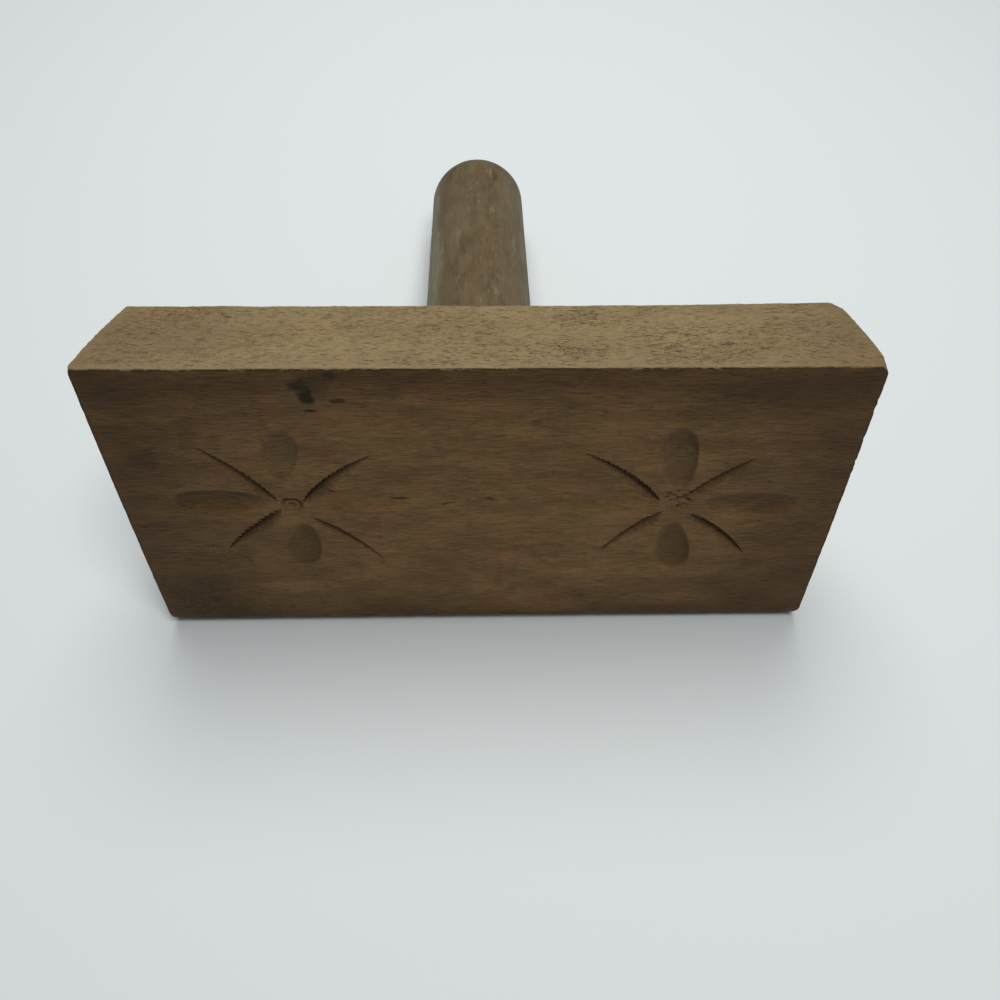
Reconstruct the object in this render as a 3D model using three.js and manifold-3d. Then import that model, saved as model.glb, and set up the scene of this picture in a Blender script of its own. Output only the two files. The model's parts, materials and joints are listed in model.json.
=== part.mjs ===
// Wooden butter stamp: a thick board whose face prints two flowers, and a round dowel handle.
// The board's four edges lean in towards its back, where a blind bore takes the handle's tenon.
// Millimetres, +Z up. The origin is under the middle of the stamp, on the table that it rests on.

import * as THREE from 'three';
import { mergeVertices } from 'three/addons/utils/BufferGeometryUtils.js';
import Module from 'manifold-3d';

const wasm = await Module();
wasm.setup();

// Board
const boardLength = 140;
const boardHeight = 69;
const boardThickness = 23;
const edgeTaper = 2.4; // how far each edge leans in between the face and the back
const boardCornerRadius = 1.4;
const faceRimRadius = 0.9; // the arris round the face is only a little worn
const backRimRadius = 1.8;

// Handle
const handleDiameter = 26;
const handleReach = 112; // from the back of the board to the tip
const handleDomeHeight = 11;
const handleOffset = -1.2; // the bore was drilled a little to the left of the middle
const shoulderArris = 0.6;

// Glued joint between the two
const tenonDiameter = 19;
const tenonLength = 14;
const tenonChamfer = 1.2;
const glueGap = 0.3;

// Flowers on the face
const flowerEndDistance = 32; // from the end of the board to the flower's centre
const flowerRise = 3; // above the middle of the face
const uprightPetal = { start: 4, length: 15, width: 7 };
const sidePetal = { start: 4, length: 19, width: 6.2 };
const petalDepth = 0.9;
const gougeLift = 0.9; // how far the gouge's sweep is centred above the wood, which slopes the rim

// Curved cuts between the petals
const rayStart = 3;
const rayLength = 17.5;
const rayBow = 0.9; // every cut bows towards the top edge of the board
const rayDepth = 1;
const raySteepWidth = 0.5; // upper wall, seen from the front
const raySlopeWidth = 1.4; // lower wall
const knifeLift = 0.25; // how high over the wood the knife's point starts and ends
const knifeMargin = 1;

// Knob in the middle of a flower, left standing in a ring-shaped groove
const centreRingDiameter = 2.4;
const centreRingWidth = 0.7;

// Facets
const cornerSteps = 3;
const rimSteps = 4;
const dowelSteps = 56;
const domeSteps = 10;
const petalSteps = 28;
const rayPathSteps = 12;
const ringSteps = 16;
const ringTubeSteps = 6;

// Wood finishes
const boardWood = new THREE.MeshStandardMaterial({ color: 0x8b7250, roughness: 0.78, metalness: 0 });
const handleWood = new THREE.MeshStandardMaterial({ color: 0x826a49, roughness: 0.7, metalness: 0 });

function toSolid(geometry) {
  const bare = geometry.clone();
  bare.deleteAttribute('normal');
  bare.deleteAttribute('uv');
  const merged = mergeVertices(bare, 1e-4);
  return new wasm.Manifold(
    new wasm.Mesh({
      numProp: 3,
      vertProperties: new Float32Array(merged.attributes.position.array),
      triVerts: new Uint32Array(merged.index.array),
    }),
  );
}

function toMesh(name, solid, material) {
  const data = solid.getMesh();
  const geometry = new THREE.BufferGeometry();
  geometry.setAttribute('position', new THREE.BufferAttribute(data.vertProperties, 3));
  geometry.setIndex(new THREE.BufferAttribute(data.triVerts, 1));
  geometry.computeVertexNormals();
  const mesh = new THREE.Mesh(geometry, material);
  mesh.name = name;
  return mesh;
}

// A skin through outlines of equal point counts, each given with its height, capped at both ends.
function loft(sections) {
  const count = sections[0].outline.length;
  const positions = [];
  for (const { outline, z } of sections) {
    for (const point of outline) {
      positions.push(point.x, point.y, z);
    }
  }
  const index = [];
  for (let level = 0; level + 1 < sections.length; level += 1) {
    for (let k = 0; k < count; k += 1) {
      const a = level * count + k;
      const b = level * count + ((k + 1) % count);
      index.push(a, b, b + count, a, b + count, a + count);
    }
  }
  const last = (sections.length - 1) * count;
  for (const [a, b, c] of THREE.ShapeUtils.triangulateShape(sections[0].outline, [])) {
    index.push(c, b, a, last + a, last + b, last + c);
  }
  const geometry = new THREE.BufferGeometry();
  geometry.setAttribute('position', new THREE.Float32BufferAttribute(positions, 3));
  geometry.setIndex(index);
  return geometry;
}

// The board is drawn face up, with the middle of its face at the origin and its back below.
function boardOutline(inset) {
  const x = boardLength / 2 - inset - boardCornerRadius;
  const y = boardHeight / 2 - inset - boardCornerRadius;
  const quarter = Math.PI / 2;
  const outline = new THREE.Shape();
  outline.absarc(x, y, boardCornerRadius, 0, quarter);
  outline.absarc(-x, y, boardCornerRadius, quarter, 2 * quarter);
  outline.absarc(-x, -y, boardCornerRadius, 2 * quarter, 3 * quarter);
  outline.absarc(x, -y, boardCornerRadius, 3 * quarter, 4 * quarter);
  outline.closePath();
  return outline.getPoints(cornerSteps);
}

function boardBody() {
  const stations = [];
  for (let k = rimSteps; k >= 0; k -= 1) {
    const angle = ((Math.PI / 2) * k) / rimSteps;
    const depth = boardThickness - backRimRadius * (1 - Math.sin(angle));
    stations.push({ depth, roll: backRimRadius * (1 - Math.cos(angle)) });
  }
  for (let k = 0; k <= rimSteps; k += 1) {
    const angle = ((Math.PI / 2) * k) / rimSteps;
    const depth = faceRimRadius * (1 - Math.sin(angle));
    stations.push({ depth, roll: faceRimRadius * (1 - Math.cos(angle)) });
  }
  return loft(
    stations.map(({ depth, roll }) => ({
      outline: boardOutline((edgeTaper * depth) / boardThickness + roll),
      z: -depth,
    })),
  );
}

function boreCutter() {
  const radius = tenonDiameter / 2 + glueGap;
  const depth = tenonLength + glueGap;
  const overrun = 1;
  const bore = new THREE.CylinderGeometry(radius, radius, depth + overrun, dowelSteps);
  bore.rotateX(-Math.PI / 2);
  bore.translate(handleOffset, 0, -boardThickness + (depth - overrun) / 2);
  return bore;
}

// A petal is the print of a round gouge, whose sweep the face cuts off above its middle.
function petalCutter(petal, angle) {
  const reach = petalDepth + gougeLift;
  const swell = 1 / Math.sqrt(1 - (gougeLift / reach) ** 2);
  const scoop = new THREE.SphereGeometry(1, petalSteps, petalSteps / 2);
  scoop.rotateX(Math.PI / 2);
  scoop.scale((petal.length / 2) * swell, (petal.width / 2) * swell, reach);
  scoop.translate(petal.start + petal.length / 2, 0, gougeLift);
  scoop.rotateZ(angle);
  return scoop;
}

// A ray is a V cut along a path that dips into the face and runs out of it at both ends.
function rayCutter(angle) {
  const run = rayLength * Math.sqrt((rayDepth + knifeLift) / rayDepth);
  const middle = rayStart + rayLength / 2;
  const out = new THREE.Vector3(Math.cos(angle), Math.sin(angle), 0);
  const rightward = Math.sign(out.x);
  const across = new THREE.Vector3(-out.y, out.x, 0).multiplyScalar(rightward);
  const first = out.clone().multiplyScalar(middle - run / 2);
  const dip = out.clone().multiplyScalar(middle).addScaledVector(across, 2 * rayBow);
  const last = out.clone().multiplyScalar(middle + run / 2);
  first.z = knifeLift;
  dip.z = -2 * rayDepth - knifeLift;
  last.z = knifeLift;

  // The section's x axis points into the wood, and its y axis to the left of the way outwards.
  const height = rayDepth + knifeLift + knifeMargin;
  const steep = (raySteepWidth / rayDepth) * height;
  const slope = (raySlopeWidth / rayDepth) * height;
  const blade = new THREE.Shape();
  blade.moveTo(0, 0);
  blade.lineTo(-height, rightward > 0 ? steep : slope);
  blade.lineTo(-height, rightward > 0 ? -slope : -steep);
  blade.closePath();
  return new THREE.ExtrudeGeometry(blade, {
    steps: rayPathSteps,
    bevelEnabled: false,
    extrudePath: new THREE.QuadraticBezierCurve3(first, dip, last),
  });
}

function flowerCutters(side) {
  const quarter = Math.PI / 2;
  const cutters = [new THREE.TorusGeometry(centreRingDiameter / 2, centreRingWidth / 2, ringTubeSteps, ringSteps)];
  for (let k = 0; k < 4; k += 1) {
    cutters.push(petalCutter(k % 2 === 0 ? sidePetal : uprightPetal, k * quarter));
    cutters.push(rayCutter((k + 0.5) * quarter));
  }
  const centre = side * (boardLength / 2 - flowerEndDistance);
  for (const cutter of cutters) {
    cutter.translate(centre, flowerRise, 0);
  }
  return cutters;
}

function makeBoard() {
  let solid = toSolid(boardBody()).subtract(toSolid(boreCutter()));
  for (const cutter of [...flowerCutters(-1), ...flowerCutters(1)]) {
    solid = solid.subtract(toSolid(cutter));
  }
  return toMesh('stamp_board', solid, boardWood);
}

// The handle is turned about its own axis, with the plane of its shoulder at zero.
function makeHandle() {
  const radius = handleDiameter / 2;
  const tenonRadius = tenonDiameter / 2;
  const domeStart = handleReach - glueGap - handleDomeHeight;
  const profile = [
    new THREE.Vector2(0, -tenonLength),
    new THREE.Vector2(tenonRadius - tenonChamfer, -tenonLength),
    new THREE.Vector2(tenonRadius, -tenonLength + tenonChamfer),
    new THREE.Vector2(tenonRadius, 0),
    new THREE.Vector2(radius - shoulderArris, 0),
    new THREE.Vector2(radius, shoulderArris),
  ];
  for (let k = 0; k < domeSteps; k += 1) {
    const angle = ((Math.PI / 2) * k) / domeSteps;
    profile.push(new THREE.Vector2(radius * Math.cos(angle), domeStart + handleDomeHeight * Math.sin(angle)));
  }
  profile.push(new THREE.Vector2(0, domeStart + handleDomeHeight));
  const turned = new THREE.LatheGeometry(profile, dowelSteps);
  turned.rotateX(-Math.PI / 2);
  const handle = toMesh('handle', toSolid(turned), handleWood);
  handle.position.set(handleOffset, 0, -boardThickness - glueGap);
  return handle;
}

// Height of a piece's lowest point once the stamp is tipped up by this angle about X.
function lowestPoint(mesh, tip) {
  const position = mesh.geometry.attributes.position;
  let lowest = Infinity;
  for (let k = 0; k < position.count; k += 1) {
    const y = position.getY(k) + mesh.position.y;
    const z = position.getZ(k) + mesh.position.z;
    lowest = Math.min(lowest, y * Math.sin(tip) + z * Math.cos(tip));
  }
  return lowest;
}

// The stamp stands on the lower edge of the board's back and leans until the handle's end touches.
function restingTip(board, handle) {
  let upright = Math.PI / 2;
  let tipped = Math.PI / 4;
  for (let k = 0; k < 40; k += 1) {
    const middle = (upright + tipped) / 2;
    if (lowestPoint(board, middle) < lowestPoint(handle, middle)) {
      upright = middle;
    } else {
      tipped = middle;
    }
  }
  return (upright + tipped) / 2;
}

const board = makeBoard();
const handle = makeHandle();
const stamp = new THREE.Group();
stamp.add(board, handle);
stamp.rotation.x = restingTip(board, handle);
stamp.updateMatrixWorld(true);
const reach = new THREE.Box3().setFromObject(stamp, true);
const middle = reach.getCenter(new THREE.Vector3());
stamp.position.set(-middle.x, -middle.y, -reach.min.z);

export default stamp;
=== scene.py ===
# Wooden butter stamp: a thick board with two flowers cut into its face and a round dowel handle.
# It rests on a pale table, leaning back on the end of its handle.
import json
import math

import bpy
import numpy as np
from mathutils import Matrix, Vector, geometry


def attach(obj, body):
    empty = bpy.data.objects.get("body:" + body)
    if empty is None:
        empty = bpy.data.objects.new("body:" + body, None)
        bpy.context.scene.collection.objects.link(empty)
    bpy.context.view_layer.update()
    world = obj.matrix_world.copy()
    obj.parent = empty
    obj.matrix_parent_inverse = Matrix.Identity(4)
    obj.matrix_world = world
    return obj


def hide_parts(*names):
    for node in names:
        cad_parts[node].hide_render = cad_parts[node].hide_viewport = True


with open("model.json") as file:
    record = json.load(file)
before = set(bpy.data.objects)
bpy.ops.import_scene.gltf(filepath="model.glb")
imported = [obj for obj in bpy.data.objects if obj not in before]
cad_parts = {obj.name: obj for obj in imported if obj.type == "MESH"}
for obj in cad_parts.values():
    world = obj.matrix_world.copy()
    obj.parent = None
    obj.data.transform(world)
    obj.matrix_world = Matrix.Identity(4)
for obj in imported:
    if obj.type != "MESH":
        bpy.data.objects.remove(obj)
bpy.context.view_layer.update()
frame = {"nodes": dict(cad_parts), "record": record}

mm = 0.001

# The record's mount is the middle of the flat face, and gives the board's own axes.
faceMount = frame["record"]["mounts"][0]
faceCentre = Vector(faceMount["pos_m"])
faceNormal = Vector(faceMount["axis"]).normalized()
alongBoard = Vector((1.0, 0.0, 0.0))
upFace = faceNormal.cross(alongBoard)
tipAngle = math.atan2(upFace.z, upFace.y)
boardAxes = np.array([alongBoard, upFace, faceNormal])


def meshPoints(mesh):
    places = np.empty(len(mesh.vertices) * 3)
    mesh.vertices.foreach_get("co", places)
    return places.reshape(-1, 3)


def toTable(points):
    # From millimetres on the board (right, up the face, out of the face) to metres on the table
    return np.asarray(points) * mm @ boardAxes + np.array(faceCentre)


def onBoard(name):
    # Points of a CAD node along the board's own axes, in millimetres
    return (meshPoints(frame["nodes"][name].data) - np.array(faceCentre)) @ boardAxes.T / mm


boardPoints, handlePoints = onBoard("stamp_board"), onBoard("handle")
boardLow, boardHigh = boardPoints.min(axis=0), boardPoints.max(axis=0)
handleLow, handleHigh = handlePoints.min(axis=0), handlePoints.max(axis=0)
boardThickness = -boardLow[2]
handleAxis = (handleLow[:2] + handleHigh[:2]) / 2
inTheBore = handlePoints[handlePoints[:, 2] > -boardThickness + 1]
tenonRadius = np.ptp(inTheBore[:, 0]) / 2
glueGap = 0.3
boreRadius = tenonRadius + glueGap
boreDepth = handleHigh[2] + boardThickness + glueGap
print("frame read: board", np.round(boardHigh - boardLow, 1), "mm")


def smoothNoise(points, seed, octaves=1):
    # Smooth random numbers from -1 to 1, the same on every run, over points in any units
    total = np.zeros(len(points))
    strength, reach = 1.0, 0.0
    places = np.asarray(points, dtype=float)
    if places.shape[1] == 2:
        places = np.column_stack([places, total])
    for octave in range(octaves):
        base = np.floor(places).astype(np.int64)
        part = places - base
        part = part * part * (3 - 2 * part)
        value = np.zeros(len(places))
        for corner in range(8):
            step = np.array([corner & 1, corner >> 1 & 1, corner >> 2 & 1])
            cell = base + step
            mixed = cell[:, 0] * 73856093 ^ cell[:, 1] * 19349663 ^ cell[:, 2] * 83492791
            mixed = (mixed ^ (seed + octave) * 2654435761) & 0xFFFFFFFF
            mixed = (mixed ^ mixed >> 15) * 2246822519 & 0xFFFFFFFF
            mixed = (mixed ^ mixed >> 13) * 3266489917 & 0xFFFFFFFF
            level = ((mixed ^ mixed >> 16) & 0xFFFF) / 32767.5 - 1
            value += level * np.prod(np.where(step == 1, part, 1 - part), axis=1)
        total += value * strength
        reach += strength
        strength *= 0.5
        places = places * 2.03 + 11.7
    return total / reach


def smoothStep(low, high, value):
    t = np.clip((value - low) / (high - low), 0, 1)
    return t * t * (3 - 2 * t)


def addObject(name, data):
    made = bpy.data.objects.new(name, data)
    bpy.context.collection.objects.link(made)
    return made


# Camera at the photograph's viewing angle
cameraSet = {
    "place": (-0.00161, -0.15546, 0.17695),
    "looksAlong": (0.0248, 0.5561, -0.8307),
    "up": (0.0073, 0.8309, 0.5564),
    "lens": 31.27,
}


def makeCamera(settings):
    data = bpy.data.cameras.new("camera")
    data.lens = settings["lens"]
    data.sensor_width = 36
    data.clip_start = 0.005
    camera = addObject("camera", data)
    back = -Vector(settings["looksAlong"]).normalized()
    right = Vector(settings["up"]).cross(back).normalized()
    turn = Matrix((right, back.cross(right), back)).transposed()
    camera.matrix_world = Matrix.Translation(settings["place"]) @ turn.to_4x4()
    bpy.context.scene.camera = camera


makeCamera(cameraSet)
print("camera placed")


# Board, in millimetres on the board's own axes
board = {
    "faceRim": 0.5,  # radius of the worn arris round the face
    "backRim": 1.2,
    "cornerRadii": (1.5, 1.3, 0.3, 0.15),  # seen from the front: low left, low right, top right, top left
    "taperLeft": 3.6,  # how far each side leans in towards the back
    "taperRight": 2.42,
    "taperUp": 2.3,
    "taperDown": 2.4,
    "leftEndIn": 0.47,  # the ends as they were sawn, the right one out of square
    "leftEndBow": 0.22,
    "rightTopIn": 1.78,
    "rightEndBow": 0.20,
    "endCrown": 0.42,  # both ends are a little rounded between the face and the back
    "backRise": 0.55,  # the back's upper edge climbs this much towards the right
    "faceSpacing": 0.7,
    "petalSpacing": 0.28,
    "ringSpacing": 0.56,
    "rowSpacing": 0.38,
    "backSpacing": 1.6,
    "faceMargin": 0.4,  # between the outline and the first points inside it
    "backMargin": 0.8,
    "marginCorner": 0.8,  # how much rounder the corners of a margin are than the margin is wide
    "cornerSteps": 5,
    "faceRimSteps": 5,
    "backRimSteps": 6,
    "boreSpokes": 72,
    "boreRows": 5,
    "sharpAngle": 42,  # degrees between faces, above which an edge is shaded sharp
    "waviness": 0.06,
    "faceFibres": 0.015,
    "raisedFibres": 0.09,
    "tornFibres": 0.20,
    "arrisWander": 0.22,
    "endSteady": 0.7,  # how much straighter the arrises of both ends stayed
    "lowArrisWear": 0.60,
    "nickDepth": 0.15,
    "chippedRim": (-10.0, 34.0),  # heights on the face between which the right arris is chipped
    "seed": 7,
}

# Knocks that took off a corner: its side, top and face or back, how deep, and the way they came from
knocks = [
    {"corner": (1, 1, 0), "depth": 1.35, "way": (1.0, 1.0, 0.25)},
    {"corner": (1, 1, 0), "depth": 0.70, "way": (1.0, 0.3, 0.9)},
    {"corner": (-1, 1, 0), "depth": 0.85, "way": (-1.0, 0.7, 0.6)},
    {"corner": (1, 1, 1), "depth": 1.60, "way": (0.8, 0.45, -0.6)},
    {"corner": (-1, 1, 1), "depth": 0.25, "way": (-0.7, 0.5, -0.7)},
    {"corner": (-1, -1, 0), "depth": 0.50, "way": (-0.8, -0.6, 0.5)},
]

# Flowers, in millimetres from each flower's centre. Every ray bows towards the top edge.
# A petal's tilt is how much deeper the gouge went on its right or upper side, and its dark is how strongly
# its greyer tone and painted shade show.
petalKeys = ("at", "length", "width", "turn", "depth", "tilt", "dark", "red")
rayKeys = ("from", "to", "bow", "depth", "ragged")
flowers = [
    {
        "centre": (-37.6, 2.4),
        "knob": True,
        "petals": [
            ((-0.3, 12.2), 12.6, 7.2, 80, 0.60, 0.4, 0.95, -0.2),
            ((0.9, -11.9), 13.2, 6.8, 261, 0.90, 0.5, 1.25, 0.3),
            ((-13.1, 0.6), 18.5, 6.1, 180, 1.00, 0.45, 1.05, 0.22),
            ((11.7, 0.6), 18.6, 6.0, 0, 0.38, 0.3, 0.28, 0.25),
        ],
        "rays": [
            ((-2.3, 0.7), (-14.9, 14.6), 0.8, 1.15, 0.48),
            ((2.4, 0.3), (16.4, 12.3), 1.1, 1.35, 0.48),
            ((-2.1, -1.7), (-14.4, -12.7), 0.5, 1.45, 0.90),
            ((3.9, -4.0), (16.6, -16.5), 0.9, 0.95, 0.16),
        ],
    },
    {
        "centre": (37.0, 2.7),
        "knob": False,
        "petals": [
            ((-1.5, 10.3), 16.2, 7.5, 99, 0.95, 0.55, 1.15, 0.1),
            ((0.7, -13.6), 14.9, 7.3, 279, 0.95, 0.55, 1.1, 0.2),
            ((-12.6, 0.2), 17.5, 5.8, 180, 0.30, 0.3, 0.38, 0.1),
            ((14.3, -1.4), 19.8, 6.0, -1, 0.80, 0.4, 1.05, -0.05),
        ],
        "rays": [
            ((-3.6, -0.2), (-19.3, 12.4), 1.2, 1.2, 0.52),
            ((1.7, 1.1), (13.5, 10.9), 0.5, 1.1, 0.40),
            ((-2.6, -3.3), (-13.9, -14.6), 0.7, 1.15, 0.50),
            ((3.3, -4.1), (16.2, -15.9), 1.0, 1.3, 0.30),
        ],
    },
]
for flower in flowers:
    flower["petals"] = [dict(zip(petalKeys, row)) for row in flower["petals"]]
    flower["rays"] = [dict(zip(rayKeys, row)) for row in flower["rays"]]
ray = {
    "steep": 0.32,  # width of the upper wall for each millimetre of depth
    "slope": 1.65,  # width of the lower wall
    "spacing": 0.14,
    "step": 0.95,  # the upper edge breaks along the grain in steps of about this length
    "margin": 0.2,
}
knob = {
    "radius": 1.05,
    "groove": 1.5,
    "outer": 1.95,
    "place": (0.30, -0.35),
    "depth": 0.36,
    "height": 0.05,
    "length": 1.22,  # it is longer than high, and squarish
    "spokes": 44,
}


def boardEdges(depth, roll):
    # Left, right, bottom and top of the board's outline at a depth behind the face
    share = depth / boardThickness
    return (
        boardLow[0] + board["taperLeft"] * share + roll,
        boardHigh[0] - board["taperRight"] * share - roll,
        boardLow[1] + board["taperDown"] * share + roll,
        boardHigh[1] - board["taperUp"] * share - roll,
    )


def ringTemplate():
    # Once round the outline: place between the sides, outward turn, and the corner radius there
    left, right, low, high = boardEdges(0, 0)
    corners = [(-1, -1), (1, -1), (1, 1), (-1, 1)]
    radii = board["cornerRadii"]
    steps = board["cornerSteps"]
    template = []
    for side in range(4):
        onward = (side + 1) % 4
        start, end = np.array(corners[side]), np.array(corners[onward])
        length = (right - left) if side % 2 == 0 else (high - low)
        count = int(length / board["ringSpacing"])
        turn = math.radians(90 * side - 90)
        for k in range(count):
            share = k / count
            radius = radii[side] + (radii[onward] - radii[side]) * share
            template.append((*(start + (end - start) * share), math.cos(turn), math.sin(turn), radius))
        for k in range(steps):
            bend = turn + math.pi / 2 * k / steps
            template.append((*end, math.cos(bend), math.sin(bend), radii[onward]))
    return np.array(template)


def ringPoints(template, depth, roll):
    left, right, low, high = boardEdges(depth, roll)
    radius = template[:, 4:]
    middle = np.array([(left + right) / 2, (low + high) / 2])
    half = np.array([(right - left) / 2, (high - low) / 2]) - radius
    flat = middle + template[:, :2] * half + template[:, 2:4] * radius
    return np.column_stack([flat, np.full(len(flat), -depth)])


def rayPath(spec, share):
    # Points on the bottom of a cut, its length, and the direction across it towards the top edge
    start, end = np.array(spec["from"]), np.array(spec["to"])
    way = end - start
    length = np.linalg.norm(way)
    way = way / length
    across = np.array([-way[1], way[0]]) * np.sign(way[0])
    share = np.asarray(share)[:, None]
    place = start + way * length * share + across * spec["bow"] * 4 * share * (1 - share)
    return place, length, across


def rayDepthAt(spec, share):
    # The knife dips in quickly near the flower's middle and runs out slowly at the tip.
    dip = np.clip(share / 0.2, 0, 1) ** 0.6 * np.clip((1 - share) / 0.7, 0, 1) ** 0.7
    return spec["depth"] * dip


def rayStep(spec, share, length, rng):
    # Sawtooth of the upper edge, where the wood broke off along its grain
    count = int(length / ray["step"]) + 2
    joints = np.cumsum(rng.uniform(0.6, 1.4, count)) * ray["step"] / length
    heights = rng.uniform(0.5, 1.0, count + 1)
    cell = np.searchsorted(joints, share)
    start = np.concatenate([[0], joints])[cell]
    end = np.concatenate([joints, [joints[-1] + 0.1]])[np.minimum(cell, count)]
    tooth = (share - start) / (end - start)
    return (0.5 - tooth) * heights[cell] * spec["ragged"] * np.clip(rayDepthAt(spec, share) * 1.6, 0, 1)


def petalAcross(petal):
    turn = math.radians(petal["turn"])
    return np.array([-math.sin(turn), math.cos(turn)])


def petalFall(petal, places):
    # How far inside a petal's outline a place is: 0 on the rim and 1 in the middle
    across = petalAcross(petal)
    offset = places - np.array(petal["at"])
    u = offset @ np.array([across[1], -across[0]]) / (petal["length"] / 2)
    v = (offset[:, 0] * across[0] + offset[:, 1] * across[1]) / (petal["width"] / 2)
    narrowing = 1 - 0.24 * smoothStep(0.2, -1.1, u)  # a little slimmer at its inner end
    return 1 - np.abs(u) ** np.where(u > 0, 3.6, 2.4) - np.abs(v / narrowing) ** 2.2


def petalLean(petal, places):
    # From -1 on a petal's left or lower side to 1 on its right or upper side
    across = petalAcross(petal)
    forward = across[0] if abs(across[0]) > 0.5 else across[1]
    share = (places - np.array(petal["at"])) @ across * np.sign(forward) / (petal["width"] / 2)
    return np.clip(share, -1, 1)


def petalDepth(petal, places):
    fall = np.clip(petalFall(petal, places), 0, 1)
    lean = petalLean(petal, places)
    steepness = 1.35 - 0.8 * petal["tilt"] * (1 + lean)
    return petal["depth"] * fall ** steepness * (1 + petal["tilt"] * lean * 0.5)


def hexGrid(spacing, low, high, jitter, seed):
    # Points in a grid of triangles, each moved a little
    rows = np.arange(low[1], high[1], spacing * 0.866)  # height of an even-sided triangle
    columns = np.arange(low[0], high[0], spacing)
    x, y = np.meshgrid(columns, rows)
    x = x + (np.arange(len(rows)) % 2)[:, None] * spacing / 2
    points = np.column_stack([x.ravel(), y.ravel()])
    return points + np.random.default_rng(seed).uniform(-jitter, jitter, points.shape) * spacing


def withinMargin(points, low, high, margin):
    # Which points are this far inside the outline, with round corners
    low, high = low + margin, high - margin
    radius = margin + board["marginCorner"]
    corner = np.abs(points - (low + high) / 2) - (high - low) / 2 + radius
    cutOff = (corner > 0).all(axis=1) & (np.linalg.norm(corner, axis=1) > radius)
    return (points > low).all(axis=1) & (points < high).all(axis=1) & ~cutOff


def rayRows(spec, centre, rng):
    # Rows of points down the steep wall and up the slope of one cut, with height, and painted shade with dirt
    # that darkens the cut; a negative value makes its broken upper lip pale
    _, length, across = rayPath(spec, [0.0])
    share = np.linspace(0, 1, int(length / ray["spacing"]))
    place, _, _ = rayPath(spec, share)
    deep = rayDepthAt(spec, share)
    tooth = rayStep(spec, share, length, rng)
    steep = ray["steep"] * deep + 0.02
    slope = ray["slope"] * deep + 0.04
    slope *= 1 + 0.22 * smoothNoise(np.column_stack([place * 0.9, share]), 61, 2)
    rows = [
        (-steep - ray["margin"] - 0.1 + tooth, 0.0, -spec["ragged"]),
        (-steep + tooth, 0.0, 0.45),
        (-steep * 0.85 + tooth, 0.5, 1.0),
        (-steep * 0.4 + tooth * 0.5, 0.85, 1.0),
        (steep * 0, 1.0, 1.0),
        (slope * 0.10, 0.92, 0.92),
        (slope * 0.26, 0.76, 0.60),
        (slope * 0.50, 0.51, 0.40),
        (slope * 0.76, 0.24, 0.25),
        (slope, 0.0, 0.05),
        (slope + ray["margin"], 0.0, 0.0),
    ]
    for shift, fall, shadeAndDirt in rows:
        yield place + centre - across * shift[:, None], -deep * fall, shadeAndDirt * smoothStep(0, 0.2, deep)


def nearRay(spec, offset):
    # Places within a cut or a little beside it
    start, end = np.array(spec["from"]), np.array(spec["to"])
    share = np.clip((offset - start) @ (end - start) / ((end - start) @ (end - start)), 0, 1)
    near, _, across = rayPath(spec, share)
    off = (offset - near) @ across
    along = np.linalg.norm(offset - near - across * off[:, None], axis=1)
    deep = rayDepthAt(spec, share)
    reach = ray["margin"] + 0.22
    return (off < ray["steep"] * deep + reach) & (off > -ray["slope"] * deep - reach) & (along < 0.35)


def knobRings(hub):
    # Rings of points round the knob and its groove, with height, and painted shade with dirt, heavier on the
    # upper right where the groove's walls are turned from the light
    spokes = np.arange(knob["spokes"]) * 2 * math.pi / knob["spokes"]
    circle = np.column_stack([np.cos(spokes), np.sin(spokes)])
    circle = np.sign(circle) * np.abs(circle) ** 0.8 * (knob["length"], 1)
    radius, groove, outer, depth = (knob[key] for key in ("radius", "groove", "outer", "depth"))
    profile = [
        (0.3, -0.26, 0.45),
        (radius * 0.58, -0.20, 0.35),
        (radius * 0.82, knob["height"], 0.0),
        (radius * 1.05, knob["height"], 0.0),
        ((radius + groove) / 2, -depth * 0.8, 0.5),
        (groove, -depth, 0.75),
        ((groove + outer) / 2, -depth * 0.45, 0.3),
        (outer, -0.03, 0.05),
        (outer + 0.3, 0.0, 0.0),
    ]
    wobble = smoothNoise(circle * 1.4, 31, 2)
    shadowed = np.clip(0.85 + 0.3 * circle[:, 0] + 0.6 * circle[:, 1], 0.3, 1.3)
    for reach, height, shadeAndDirt in profile:
        points = hub + circle * (reach * (1 + 0.20 * wobble * min(1, reach)))[:, None]
        heights = height * (1 + 0.8 * wobble) * np.where(height < -0.15, shadowed, 1)
        yield points, heights, np.clip(shadeAndDirt * shadowed, 0, 1)


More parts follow.
